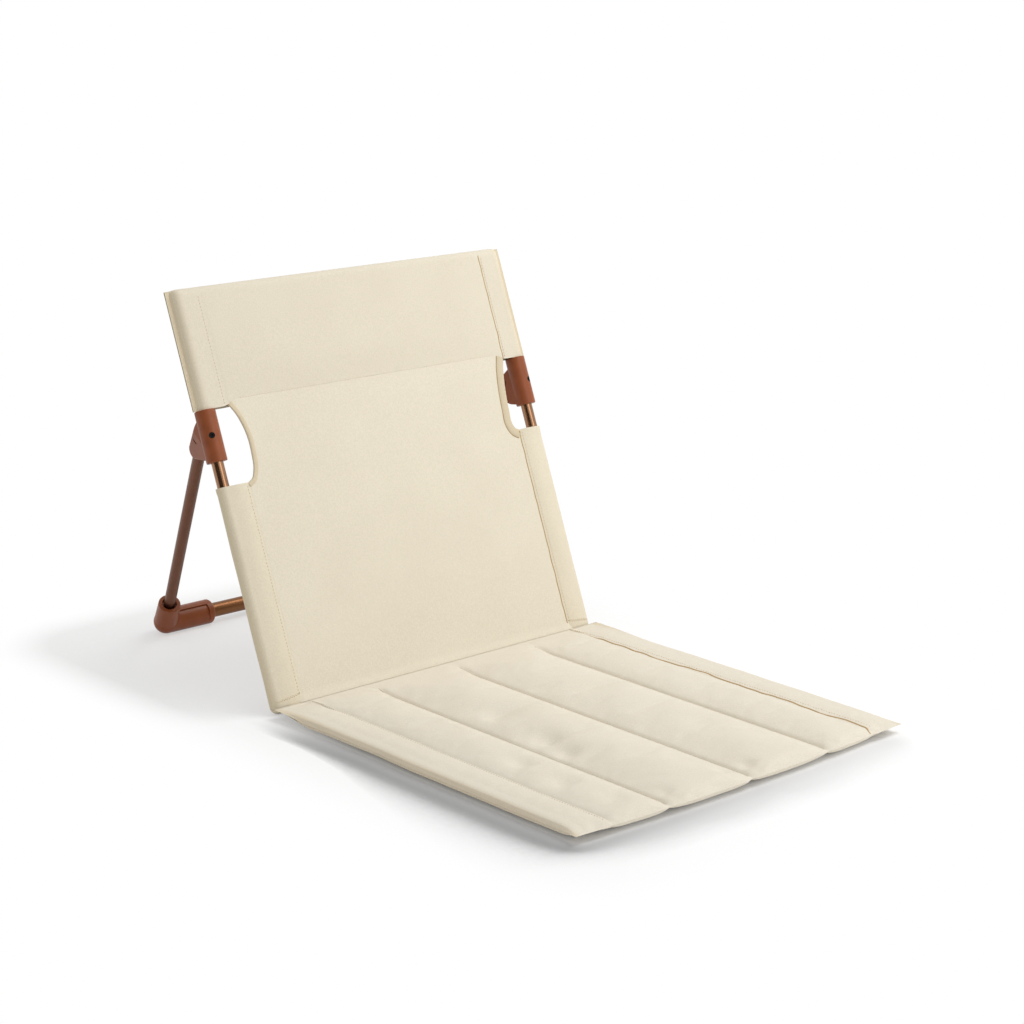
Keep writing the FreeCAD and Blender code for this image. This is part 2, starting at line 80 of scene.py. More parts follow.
# Back panel; the marks are heights that its grid hits
PANEL_LOW_V, PANEL_TOP_V, PANEL_EDGE = 6.5, 340, 194
LIP, LIP_TOP_V, LIP_WIDE = 1.6, 16, 9.5
PANEL_MARKS = [PANEL_LOW_V, LIP_TOP_V, 30, 240, 262, 300, STITCH_V, PANEL_TOP_V]
PANEL_STEP, SHARE_STEP, FIXED_SHARE = 3, 0.018, 0.8
PANEL_SAG, SAG_LOW_V = 0.5, 20
PANEL_WAVES, PANEL_CALM = [(0.35, 110, 95, 3.1), (0.12, 40, 50, 7.7)], 25
VALLEY_DEPTH, VALLEY_WIDE = 0.35, 22
TUCK, TUCK_START, TUCK_WIDE = 0.8, 0.5, 3

# Hand cut-outs, as (u, v) from below to above, and the tape on their edges
CUTOUT_LEFT = [(191, 243), (184.5, 246.5), (179.5, 256), (177, 275),
               (177.3, 293), (181, 309), (185, 319), (191, 329)]
CUTOUT_RIGHT = [(191, 243), (185, 246), (181.5, 252.5), (181.8, 267),
                (183, 284), (185.5, 302), (188.5, 316), (193, 329)]
CUTOUT_COUNT = 60
BINDING_LEFT, BINDING_RIGHT, TAPE_THICK = 4.5, 9, 0.4
TAPE_HEIGHT, TAPE_ALONG, TAPE_ACROSS, TAPE_SEED = 0.12, 14, 6, 4.4

# Headrest hood, its side bands and its flanges
HOOD_EDGE_V, BAND_EDGE_V, HOOD_REAR_V = 333.4, 327.5, 327.5
BAND_START, BAND_END = 176, 199
FLANGE_START, FLANGE_END, FLANGE_HALF = 226, 231, 0.9
HOOD_SWELL, HOOD_RISE, SWELL_FADE, HOOD_SQUARE = 1.7, 38, 0.25, 8
HOOD_DROP, EDGE_PROUD = 1.2, 0.08
HOOD_SEAM_U, HOOD_SEAM_DEEP, HOOD_SEAM_WIDE = 193.5, 0.3, 1.6
HOOD_WAVES = [(0.25, 80, 60, 11.3), (0.1, 30, 50, 5.9)]
HOOD_REAR_WAVES = [(0.4, 70, 60, 21.3)]
HOOD_PULL, PULL_START, PULL_EDGE, PULL_WIDE = 5.2, 0.35, 150, 45
HOOD_STEP, HOOD_FRONT_ROWS, HOOD_TOP_ROWS, HOOD_REAR_ROWS = 3, 38, 11, 30

# Lower side sleeves and the sleeve of the bottom cross tube
SLEEVE_TOP_V, SLEEVE_SEAM, SLEEVE_STEP = 244, 27, 4
SLEEVE_PROUD, SLEEVE_DOME, SLEEVE_PULL, SLEEVE_FLAT = 0.05, 1.5, 5.8, 12
SLEEVE_HEM, HEM_PROUD, HEM_WIDE = 8, 0.5, 1.5
SLEEVE_HEIGHT, SLEEVE_ACROSS, SLEEVE_ALONG, SLEEVE_SEED = 0.45, 25, 45, 2.7
SLEEVE_CALM_V, SLEEVE_CALM = 12, 30
TUNNEL_R, TUNNEL_TOP_V, TUNNEL_PULL, TUNNEL_STEP = 8.2, 34, 5.9, 6
TUNNEL_WAVES, TUNNEL_CALM = [(0.3, 40, 20, 8.8)], 2
FLAT_COUNT, TURN_COUNT, CAP_COUNT, RISE_COUNT = 10, 17, 7, 12

# Seat mat: across x, forward of the fold line s, height z
SEAT_REAR, SEAT_FRONT, SEAT_HALF = 0.3, 461, 224
BAND_SEAM, CHANNEL_SEAM = 182, 111
SEAT_SEAMS = (0, CHANNEL_SEAM, BAND_SEAM)
SEAM_REAR, SEAM_FRONT, SEWN_AHEAD, SEWN_LONG = 26, 455, 6, 40
SEAT_STEP, ROLL_STEP, FRONT_STEP = 3.6, 1.5, 2.1
REAR_EDGE_Z, SIDE_EDGE_Z, FRONT_EDGE_Z = 10.4, 7.4, 8.8
REAR_EDGE_S, REAR_EDGE_LONG, EDGE_THICK = 60, 50, 0.8
ROLL_START, ROLL_HALF, BAND_RISE = 209, 5.6, 22
TOP_VALLEY, TOP_BAND, TOP_INNER, TOP_OUTER = 9.6, 12.4, 17.0, 15.8
LOW_VALLEY, LOW_BAND, LOW_CROWN, LOW_FLOOR = 5.0, 3.6, 0.4, 0.1
PUFF_POWER = 3.6
FRONT_ROLL, TAPER, FRONT_LEAST = 18, 26, 0.3
REAR_ROLL, REAR_LEAST, ROLL_TAPER, ROLL_LEAST = 60, 0.15, 40, 0.5
SEAT_WAVES = [(0.3, 60, 90, 1.7)]

# Outline of the mat: bowed and waved sides and front, drawn in at the seams
SIDE_NEAR, SIDE_WIDE, FRONT_NEAR = 150, 70, 380
SIDE_BOW, REAR_FLARE, FLARE_LONG, FRONT_BOW = 2, 6, 110, 7
SIDE_WAVES, SIDE_APART = [(1.4, 65, 1, 6.1)], 3
FRONT_WAVES = [(0.8, 40, 1, 9.4)]
SEAM_DRAW, SEAM_DRAW_WIDE, MIDDLE_DRAW, MIDDLE_DRAW_WIDE = 0.9, 5, 1.4, 4
CORNER_OUT, CORNER_WIDE = 3.0, 12

# Grooves and the short blow-up of the quilting
GROOVE_STEPS = (-6, -3.2, -1.4, 0, 1.4, 3.2, 6)
GROOVE_DEEP, GROOVE_WIDE, GROOVE_REAR, GROOVE_FRONT, GROOVE_END = 2.4, 1.9, 5, 8, 3
BAND_GROOVE, BAND_GROOVE_NEAR = 0.3, 20
PIN_NEAR = 3.3
PRESSURE, SLACK, BLOW_FRAMES, BLOW_MOST = 2, 0.005, 16, 4.5
# Soft dents, steeper at their front ends: x, s, radius and depth
DENT_LONG, DENT_STEEP = 0.7, 1.5
DENTS = [(-86, 266, 17, 8.0), (-78, 181, 22, 5.2), (-95, 303, 13, 7.0), (-150, 300, 15, 6.6),
         (-154, 362, 16, 6.8), (-146, 424, 14, 4.4), (40, 190, 30, 1.4), (56, 340, 26, 1.4),
         (146, 260, 20, 1.4), (-20, 410, 20, 1.2), (14, 440, 7, 5.4), (-15, 437, 8, 5.4),
         (98, 442, 5, 3.0), (-98, 441, 6, 3.6)]
# Room that the folded-up seat leaves in front of the backrest and its sleeves
FOLD_REACH, FOLD_COUNT, PANEL_MARGIN = 200, 101, 0.6
FOLD_CLEAR, SLEEVE_CLEAR, FOLD_SOFT = 0.2, 2.2, 0.35
SLEEVE_NEAR, SLEEVE_NEAR_WIDE = 8, 6

# Base sheet under the mat, and the welt over the fold as (behind the fold line, height)
BASE_THICK, BASE_REAR = 0.8, 8
WELT_HALF, WELT_STEP, WELT_COUNT, WELT_THICK = 204, 4, 14, 0.6
WELT_LINE = [(1.8, 9.8), (0.8, 9.0), (-0.8, 8.8), (-3, 9.0), (-10, 9.2)]
WELT_WAVES = [(0.1, 30, 12, 3.3)]

# Sewing
STITCH_LONG, STITCH_GAP, STITCH_R, STITCH_LIFT = 2.3, 1.3, 0.26, 0.1
STITCH_SIDES, STITCH_RINGS = 6, (0.25, 0.75)
# Width and height of the seam lines, and how deep their edges go; the quilting's line is a dark
# strip of painted shade in the crease
BACK_LINE, BAND_LINE, QUILT_SHADE_LINE, LINE_SUNK = (2.2, 0.15), (2.6, 0.35), (0.9, 0.05), 0.3
# Places are cast onto the cloth from before and above it
RUN_STEP, BEFORE, ABOVE = 2.0, 60, 80
# How far the lines keep from the ends of the cloth, and run beside its seams
HOOD_RUN_IN, SLEEVE_RUN_V, SEAT_RUN_S = 1, 14, 6
STITCH_SHORT, BAND_SHORT, QUILT_SHORT = 10, 2, 3
HOOD_STITCH, SLEEVE_STITCH, LEFT_STITCH, RIGHT_STITCH = 2.6, 3, 3, 8
SLEEVE_LINE, TAPE_LINE, BAND_LINE_OUT = 0.4, 0.4, 3
TACK_V, TACK_SLOPE, TACK_STEP, TACK_ZIGZAG, TACK_OUT = 13, 0.12, 1.6, 1.6, 5
HOOD_LINE_WAVES = [(0.4, 30, 1, 2.2)]
HOOD_SEAM_WAVES, SLEEVE_SEAM_WAVES = [(0.8, 14, 1, 3.9)], [(0.8, 16, 1, 4.9)]
QUILT_WAVES = [(0.5, 25, 1, 5.2)]
BAND_WAVES = [(3.2, 60, 1, 1.9), (1.5, 20, 1, 4.6)]
CURL, CURL_S, CURL_LONG = 7, 446, 11


def back_point(u, w, v):
    """World places, in metres, of points of the backrest."""
    u, w, v = np.broadcast_arrays(np.asarray(u, float), w, v)
    return MM * np.stack([u, FLOOR_LINE_Y + v * SIN + w * COS, v * COS - w * SIN], axis=-1)


def seat_point(x, s, z):
    """World places, in metres, of points of the seat."""
    x, s, z = np.broadcast_arrays(np.asarray(x, float), s, z)
    return MM * np.stack([x, FOLD_Y - s, z], axis=-1)


def ripple(across, along, seed):
    """Smooth noise, about -1 to 1, at places given in noise cells."""
    across, along = np.broadcast_arrays(across, along)
    values = [noise.noise((a, b, seed)) for a, b in zip(across.ravel(), along.ravel())]
    return np.reshape(values, across.shape)


def waves(across, along, rows):
    """The sum of soft waves, each a row of height, two lengths and a seed."""
    return sum(height * ripple(across / wide, along / tall, seed)
               for height, wide, tall, seed in rows)


def ease(t):
    """Smooth step from 0 to 1."""
    t = np.clip(t, 0, 1)
    return t * t * (3 - 2 * t)


def grown(least, t):
    """Smooth step from the least share to 1."""
    return least + (1 - least) * ease(t)


def dip(distance, width):
    """A smooth bump of height 1 at distance 0."""
    return np.exp(-((np.asarray(distance, float) / width) ** 2))


def run_along(points):
    """How far along a line of points each of them lies."""
    steps = np.linalg.norm(np.diff(points, axis=0), axis=1)
    return np.concatenate([[0], np.cumsum(steps)])


def smooth_line(points, count):
    """A smooth line through the points, at count evenly spaced places."""
    points = np.asarray(points, float)
    knots = run_along(points)
    slopes = np.gradient(points, knots, axis=0)
    t = np.linspace(0, knots[-1], count)
    k = np.clip(np.searchsorted(knots, t) - 1, 0, len(knots) - 2)
    step = (knots[k + 1] - knots[k])[:, None]
    f = (t - knots[k])[:, None] / step
    return ((2 * f**3 - 3 * f**2 + 1) * points[k] + (f**3 - 2 * f**2 + f) * step * slopes[k]
            + (3 * f**2 - 2 * f**3) * points[k + 1] + (f**3 - f**2) * step * slopes[k + 1])


def inward(line):
    """Unit vectors square to a line of (u, v) places, to the inside of the cover."""
    along = np.gradient(line, axis=0)
    along /= np.linalg.norm(along, axis=1)[:, None]
    return np.stack([-along[:, 1], along[:, 0]], axis=1)


def spread(marks, step):
    """Places from the first mark to the last that hit every mark, about step apart."""
    parts = [np.linspace(a, b, max(2, round((b - a) / step) + 1))[:-1]
             for a, b in zip(marks, marks[1:])]
    return np.concatenate(parts + [[marks[-1]]])


def side_name(side):
    return "left" if side < 0 else "right"


def add_object(name, vertices, faces, material):
    mesh = bpy.data.meshes.new(name)
    places = np.asarray(vertices).reshape(-1, 3).tolist()
    mesh.from_pydata(places, [], [list(face) for face in faces])
    mesh.polygons.foreach_set("use_smooth", [True] * len(mesh.polygons))
    mesh.materials.append(material)
    piece = bpy.data.objects.new(name, mesh)
    bpy.context.scene.collection.objects.link(piece)
    return piece


def grid_faces(rows, cols):
    index = np.arange(rows * cols).reshape(rows, cols)
    corners = [index[:-1, :-1], index[:-1, 1:], index[1:, 1:], index[1:, :-1]]
    return np.stack(corners, axis=-1).reshape(-1, 4)


def rim_loop(rows, cols):
    """Indices round the border of a grid."""
    index = np.arange(rows * cols).reshape(rows, cols)
    return np.concatenate([index[0, :-1], index[:-1, -1], index[-1, :0:-1], index[:0:-1, 0]])


def cloth_piece(name, points, material, thickness=CLOTH):
    """A sheet of cloth through a grid of points, thickened to the inside, with crisp edges."""
    rows, cols = points.shape[:2]
    count = rows * cols
    normals = np.cross(np.gradient(points, axis=1), np.gradient(points, axis=0))
    normals /= np.maximum(np.linalg.norm(normals, axis=-1, keepdims=True), 1e-12)
    inside = points - thickness * MM * normals
    loop = rim_loop(rows, cols)
    rim = [(b, a, a + count, b + count) for a, b in zip(loop, np.roll(loop, -1))]
    faces = [*grid_faces(rows, cols), *(grid_faces(rows, cols)[:, ::-1] + count), *rim]
    vertices = np.concatenate([points.reshape(-1, 3), inside.reshape(-1, 3)])
    piece = add_object(name, vertices, faces, material)
    piece.data.set_sharp_from_angle(angle=SHARP)
    return piece


# Node helpers: a value is either a node's output or a constant
def feed(tree, socket, value):
    if isinstance(value, bpy.types.NodeSocket):
        tree.links.new(value, socket)
    else:
        socket.default_value = value


def feed_all(tree, node, values):
    for name, value in values.items():
        feed(tree, node.inputs[name], value)


def new_material(name):
    material = bpy.data.materials.new(name)
    material.use_nodes = True
    tree = material.node_tree
    return material, tree, tree.nodes["Principled BSDF"]


def object_places(tree):
    return tree.nodes.new("ShaderNodeTexCoord").outputs["Object"]


def object_axes(tree):
    """The outputs X, Y and Z of the place in object space."""
    axes = tree.nodes.new("ShaderNodeSeparateXYZ")
    tree.links.new(object_places(tree), axes.inputs["Vector"])
    return axes.outputs


def object_noise(tree, scale, detail, turn=0.0, stretch=(1, 1, 1)):
    """A noise in object space, turned about X and stretched, and the places it is made at."""
    mapping = tree.nodes.new("ShaderNodeMapping")
    feed_all(tree, mapping, {"Vector": object_places(tree), "Rotation": (turn, 0, 0),
                             "Scale": stretch})
    texture = tree.nodes.new("ShaderNodeTexNoise")
    places = mapping.outputs["Vector"]
    feed_all(tree, texture, {"Vector": places, "Scale": scale, "Detail": detail})
    return texture.outputs["Fac"], places


def calculated(tree, operation, *values):
    node = tree.nodes.new("ShaderNodeMath")
    node.operation = operation
    for socket, value in zip(node.inputs, values):
        feed(tree, socket, value)
    return node.outputs["Value"]


def eased(tree, source, start, end, low=0, high=1):
    """A smooth step of the source from start to end, from low to high."""
    node = tree.nodes.new("ShaderNodeMapRange")
    node.interpolation_type = "SMOOTHSTEP"
    feed_all(tree, node, {"Value": source, "From Min": start, "From Max": end,
                          "To Min": low, "To Max": high})
    return node.outputs["Result"]


def ramp(tree, source, stops):
    node = tree.nodes.new("ShaderNodeValToRGB")
    for element, (place, colour) in zip(node.color_ramp.elements, (stops[0], stops[-1])):
        element.position, element.color = place, (*colour, 1)
    for place, colour in stops[1:-1]:
        node.color_ramp.elements.new(place).color = (*colour, 1)
    tree.links.new(source, node.inputs["Fac"])
    return node.outputs["Color"]


def mixed(tree, kind, share, first, second):
    node = tree.nodes.new("ShaderNodeMix")
    node.data_type = "RGBA"
    node.blend_type = kind
    feed_all(tree, node, {"Factor": share, "A": first, "B": second})
    return node.outputs["Result"]


def either_shader(tree, share, first, second):
    node = tree.nodes.new("ShaderNodeMixShader")
    for socket, value in zip(node.inputs, (share, first, second)):
        feed(tree, socket, value)
    return node.outputs["Shader"]


def seen_ray(tree):
    """1 for what the camera sees straight, mirrored or through glass, else 0."""
    path = tree.nodes.new("ShaderNodeLightPath").outputs
    seen = path["Is Camera Ray"]
    for kind in ("Is Glossy Ray", "Is Transmission Ray"):
        seen = calculated(tree, "MAXIMUM", seen, path[kind])
    return seen


# Materials
TONE_LOW, TONE_HIGH = 0.3, 0.7
GRAIN_SCALE, DRIFT_SCALE, WEAVE_SCALE, WEAVE_BEND = 640, 14, 250, 0.6
DRIFT_STOPS = [(TONE_LOW, (0.975, 0.97, 0.965)), (TONE_HIGH, (1, 1, 1))]
WEAVE_STOPS = [(0.0, (0.95, 0.945, 0.93)), (0.6, (1, 1, 1))]
CLOTH_TONES, CLOTH_BUMP = (0.955, 1.035), (0.35, 0.0003)
CLOTH_FINISH = {"Roughness": 0.85, "Specular IOR Level": 0.25,
                "Sheen Weight": 0.12, "Sheen Roughness": 0.5}
# Warm, darker tint of painted shade for the outer edges and rolls of the cloth
PAINTED_EDGE_SHADE = (0.925, 0.875, 0.785, 1)
METAL_TONES, GLOSS_TONES, STREAK_SCALE = (0.88, 1.1), (0.85, 1.2), 260
ALONG_Z, ALONG_X = (1, 1, 0.06), (0.06, 1, 1)
PLASTIC_TONES, PLASTIC_DEEP, PLASTIC_SHINE = (0.9, 1.08), 0.0002, 0.3
BLOTCH_SCALE, FINE_SCALE = 70, 1400


def toned(tree, source, colour, tones):
    """The colour in shades from the first tone to the second, as the source goes up."""
    shades = [tuple(min(1.0, c * tone) for c in colour) for tone in tones]
    return ramp(tree, source, list(zip((TONE_LOW, TONE_HIGH), shades)))


def bumped(tree, height, strength, distance):
    bump = tree.nodes.new("ShaderNodeBump")
    feed_all(tree, bump, {"Height": height, "Strength": strength, "Distance": distance})
    return bump.outputs["Normal"]


def with_painted_edge_shade(tree, source, start, end):
    """Painted shade: the source colour, warmer and darker where |x| passes from start to end."""
    out = calculated(tree, "ABSOLUTE", object_axes(tree)["X"])
    return mixed(tree, "MULTIPLY", eased(tree, out, start * MM, end * MM), source, PAINTED_EDGE_SHADE)


def woven(name, colour, turn=0.0, rim=None):
    """Plain-woven canvas: a fine weave, a speckled grain and slow changes of tone, with painted
    shade at the outer edges where rim is given.
    """
    material, tree, shader = new_material(name)
    grain, places = object_noise(tree, GRAIN_SCALE, 2, turn)
    drift, _ = object_noise(tree, DRIFT_SCALE, 2, turn)
    threads = []
    for axis in ("X", "Z" if turn else "Y"):
        wave = tree.nodes.new("ShaderNodeTexWave")
        wave.bands_direction = axis
        feed_all(tree, wave, {"Vector": places, "Scale": WEAVE_SCALE, "Distortion": WEAVE_BEND})
        threads.append(wave.outputs["Fac"])
    cross = calculated(tree, "MULTIPLY", *threads)
    base = toned(tree, grain, colour, CLOTH_TONES)
    drifted = mixed(tree, "MULTIPLY", 1.0, base, ramp(tree, drift, DRIFT_STOPS))
    final = mixed(tree, "MULTIPLY", 1.0, drifted, ramp(tree, cross, WEAVE_STOPS))
    # Painted shade towards the outer edges, over the span of |x| that rim gives
    if rim:
        final = with_painted_edge_shade(tree, final, *rim)
    height = calculated(tree, "ADD", cross, grain)
    feed_all(tree, shader, {"Base Color": final, "Normal": bumped(tree, height, *CLOTH_BUMP),
                            **CLOTH_FINISH})
    return material


def metal(name, colour, roughness, turn, streak=ALONG_Z):
    """Anodised or lacquered metal with faint streaks along it."""
    material, tree, shader = new_material(name)
    streaks, _ = object_noise(tree, STREAK_SCALE, 3, turn, streak)
    feed_all(tree, shader, {"Base Color": toned(tree, streaks, colour, METAL_TONES),
                            "Roughness": toned(tree, streaks, (roughness,) * 3, GLOSS_TONES),
                            "Metallic": 1.0})
    return material


def plastic(name, colour, roughness, grain):
    """Moulded plastic with a fine texture and slight blotches."""
    material, tree, shader = new_material(name)
    blotch, _ = object_noise(tree, BLOTCH_SCALE, 2)
    fine, _ = object_noise(tree, FINE_SCALE, 2)
    feed_all(tree, shader, {"Base Color": toned(tree, blotch, colour, PLASTIC_TONES),
                            "Normal": bumped(tree, fine, grain, PLASTIC_DEEP),
                            "Roughness": roughness, "Specular IOR Level": PLASTIC_SHINE})
    return material


LEG_LEAN = -math.radians(35.7)
BACK_CLOTH = woven("back_cloth", (0.80, 0.735, 0.60), RECLINE)
# The hood's and sleeves' cloth are darker, warmer copies of the back's cloth, for painted shade
SHADED_HOOD_CLOTH = woven("hood_cloth_painted_shade", (0.772, 0.706, 0.572), RECLINE, rim=(212, 230))
SHADED_SLEEVE_CLOTH = woven("sleeve_cloth_painted_shade", (0.775, 0.702, 0.552), RECLINE, rim=(219, 227))
SEAT_CLOTH = woven("seat_cloth", (0.79, 0.73, 0.615), rim=(218, 226))
TAPE = woven("tape", (0.69, 0.59, 0.42), RECLINE)
BASE_CLOTH = woven("base_cloth", (0.66, 0.58, 0.44))
THREAD = woven("thread", (0.64, 0.51, 0.32))
PALE_THREAD = woven("pale_thread", (0.85, 0.79, 0.66))
SEAM = woven("seam", (0.46, 0.31, 0.14))
BRONZE = metal("bronze", (0.33, 0.18, 0.10), 0.2, RECLINE)
LEG_BRONZE = metal("leg_bronze", (0.165, 0.075, 0.046), 0.4, LEG_LEAN)
CROSS_BRONZE = metal("cross_bronze", (0.20, 0.09, 0.04), 0.36, 0, ALONG_X)
CONNECTOR = plastic("connector", (0.26, 0.068, 0.021), 0.38, 0.2)
PLUG = plastic("plug", (0.05, 0.045, 0.04), 0.5, 0.25)
SCREW = plastic("screw", (0.005, 0.005, 0.005), 0.7, 0.1)

NODE_MATERIALS = {
    "upright_tube": BRONZE, "top_cross_tube": BRONZE, "bottom_cross_tube": BRONZE,
    "leg_tube": LEG_BRONZE, "rear_cross_tube": CROSS_BRONZE,
    "hinge_hub": CONNECTOR, "foot_elbow": CONNECTOR, "hinge_pin": CONNECTOR,
    "top_corner_plug": PLUG, "bottom_corner_plug": PLUG, "leg_plug": PLUG,
    "hub_screws": SCREW, "leg_screws": SCREW,
}
for start, material in NODE_MATERIALS.items():
    for name, node in frame["nodes"].items():
        if name.startswith(start):
            node.data.materials.clear()
            node.data.materials.append(material)


# Back panel with its two hand cut-outs
cutouts = {-1: smooth_line(CUTOUT_LEFT, CUTOUT_COUNT), 1: smooth_line(CUTOUT_RIGHT, CUTOUT_COUNT)}


def panel_edge(v, side):
    """Half width of the panel at a height, in the cut-out as well."""
    edge_u, edge_v = cutouts[side].T
    inside = (v > edge_v[0]) & (v < edge_v[-1])
    return np.where(inside, np.minimum(np.interp(v, edge_v, edge_u), PANEL_EDGE), PANEL_EDGE)


def panel_lip(v):
    """How far the panel's lower end comes forward over the fold."""
    return LIP * ease((LIP_TOP_V - v) / LIP_WIDE)


def panel_depth(u, v):
    """How far the panel's front lies before the middle plane."""
    out = np.abs(u)
    height = np.clip((v - SAG_LOW_V) / (STITCH_V - SAG_LOW_V), 0, 1)
    sag = PANEL_SAG * (1 - (u / PANEL_EDGE) ** 2) * np.sin(np.pi * height)
    soft = waves(u, v, PANEL_WAVES) * ease((PANEL_EDGE - out) / PANEL_CALM)
    drawn = VALLEY_DEPTH * ease((v - (STITCH_V - VALLEY_WIDE)) / VALLEY_WIDE)
    tuck = TUCK * ease((out - (HALF - SLEEVE_SEAM) - TUCK_START) / TUCK_WIDE)
    return COVER - sag + soft - drawn - tuck + panel_lip(v)


def back_panel():
    shares = spread([-1, -FIXED_SHARE, FIXED_SHARE, 1], SHARE_STEP)
    v, share = np.meshgrid(spread(PANEL_MARKS, PANEL_STEP), shares, indexing="ij")
    edge = np.where(share < 0, panel_edge(v, -1), panel_edge(v, 1))
    past = np.clip((np.abs(share) - FIXED_SHARE) / (1 - FIXED_SHARE), 0, 1)
    fixed = np.minimum(np.abs(share), FIXED_SHARE) * PANEL_EDGE
    u = np.sign(share) * (fixed + past * (edge - FIXED_SHARE * PANEL_EDGE))
    piece = cloth_piece("cover_panel", back_point(u, -panel_depth(u, v), v), BACK_CLOTH)
    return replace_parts(piece, "back_panel")


def headrest():
    """A flat pocket over the top of the frame, with its side bands and flanges."""
    u = spread([-FLANGE_END, -FLANGE_START, -HALF, -BAND_START,
                BAND_START, HALF, FLANGE_START, FLANGE_END], HOOD_STEP)
    out = np.abs(u)
    reach = np.clip((out - HALF) / (FLANGE_START - HALF), 0, 1)
    half_depth = np.maximum(COVER * np.sqrt(1 - reach**2), FLANGE_HALF)
    band = ease((out - BAND_START) / (BAND_END - BAND_START))
    within = out <= FLANGE_START

    front_edge = HOOD_EDGE_V + (BAND_EDGE_V - HOOD_EDGE_V) * band
    front_v = front_edge + (TOP_V - front_edge) * np.linspace(0, 1, HOOD_FRONT_ROWS)[:, None]
    height = np.clip((front_v - HOOD_EDGE_V) / (TOP_V - HOOD_EDGE_V), 0, 1)
    rise = np.clip((front_v - HOOD_EDGE_V) / HOOD_RISE, 0, 1)
    middle = 1 - (np.minimum(out, BAND_END) / BAND_END) ** HOOD_SQUARE
    fade = 1 - ease((height - SWELL_FADE) / (1 - SWELL_FADE))
    swell = HOOD_SWELL * np.sin(np.pi / 2 * rise) * fade * middle
    gap = half_depth - panel_depth(u, np.minimum(front_v, STITCH_V))
    meet = gap * (1 - rise) ** 2 * (1 - band) - EDGE_PROUD
    seam = HOOD_SEAM_DEEP * dip(out - HOOD_SEAM_U, HOOD_SEAM_WIDE)
    soft = waves(u, front_v, HOOD_WAVES) * rise
    front_w = -half_depth - (swell - meet - seam + soft) * within

    turn = np.linspace(0, np.pi, HOOD_TOP_ROWS)[1:-1, None]
    top_w = -half_depth * np.cos(turn)
    top_v = TOP_V + (COVER - HOOD_DROP * reach) * np.sin(turn)

    t = np.linspace(0, 1, HOOD_REAR_ROWS)[:, None]
    rear_v = TOP_V + (HOOD_REAR_V - TOP_V) * t + 0 * u
    pulled = ease((t - PULL_START) / (1 - PULL_START)) * (1 - ease((out - PULL_EDGE) / PULL_WIDE))
    rear_soft = waves(u, rear_v, HOOD_REAR_WAVES) * within
    rear_w = half_depth - (COVER + HOOD_PULL) * pulled + rear_soft

    w = np.concatenate([front_w, top_w, rear_w])
    v = np.concatenate([front_v, top_v, rear_v])
    piece = cloth_piece("headrest_cover", back_point(u, w, v), SHADED_HOOD_CLOTH)
    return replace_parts(piece, "headrest_hood", "upper_sleeve_left", "upper_sleeve_right")


def sleeve(side):
    """Cloth round an upright, closed over its lower end, with a hem at the top."""
    front = np.linspace(-SLEEVE_SEAM, 0, FLAT_COUNT)
    turn = np.linspace(-np.pi / 2, np.pi / 2, TURN_COUNT)[1:-1]
    rear = front[::-1]
    dome = SLEEVE_DOME * np.sin(np.pi * (front + SLEEVE_SEAM) / SLEEVE_SEAM)
    pulled = (COVER + SLEEVE_PULL) * ease(-rear / SLEEVE_SEAM)
    across = np.concatenate([front, COVER * np.cos(turn), rear])
    deep = np.concatenate([-COVER - SLEEVE_PROUD - dome, COVER * np.sin(turn), COVER - pulled])
    hem_v = SLEEVE_TOP_V - SLEEVE_HEM
    rows = [(math.cos(a), BOTTOM_V - TUNNEL_R * math.sin(a))
            for a in np.linspace(np.pi / 2, 0, CAP_COUNT)[:-1]]
    rows += [(1, v) for v in spread([BOTTOM_V, hem_v, SLEEVE_TOP_V], SLEEVE_STEP)]
    share, height = np.array(rows).T[:, :, None]
    hem = HEM_PROUD * ease((height - hem_v) / HEM_WIDE)
    wave = [(SLEEVE_HEIGHT, SLEEVE_ACROSS, SLEEVE_ALONG, SLEEVE_SEED + side)]
    soft = waves(across, height, wave) * ease((height - SLEEVE_CALM_V) / SLEEVE_CALM)
    grow = 1 + (hem + soft) / COVER * ease((across + SLEEVE_SEAM) / SLEEVE_FLAT)
    u = HALF + np.minimum(across, 0) + np.maximum(across, 0) * grow * share
    points = back_point(side * u, deep * grow * share, height)[:, ::side]
    piece = cloth_piece("side_sleeve_" + side_name(side), points, SHADED_SLEEVE_CLOTH)
    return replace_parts(piece, "lower_sleeve_" + side_name(side))


def binding(side, width):
    """Tape folded round the edge of a cut-out, as (inset, proud) from front to rear."""
    line = cutouts[side]
    profile = [(width, 0.0), (width - 0.4, 0.3), (width / 2, 0.4), (1, 0.4), (0, 0.2),
               (-0.4, -0.6), (0, -1.4), (1, -1.7), (width / 2, -1.7), (width - 0.4, -1.6),
               (width, -1.2)]
    inset, proud = np.array(profile).T
    place = line[:, None] + inset[:, None] * inward(line)[:, None]
    u, v = place[..., 0], place[..., 1]
    wave = waves(v, inset, [(TAPE_HEIGHT, TAPE_ALONG, TAPE_ACROSS, TAPE_SEED + side)])
    depth = panel_depth(np.minimum(u, PANEL_EDGE), v)
    points = back_point(side * u, -depth - proud - wave, v)[:, ::-side]
    piece = cloth_piece("cutout_tape_" + side_name(side), points, TAPE, TAPE_THICK)
    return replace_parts(piece, "cutout_binding_" + side_name(side))


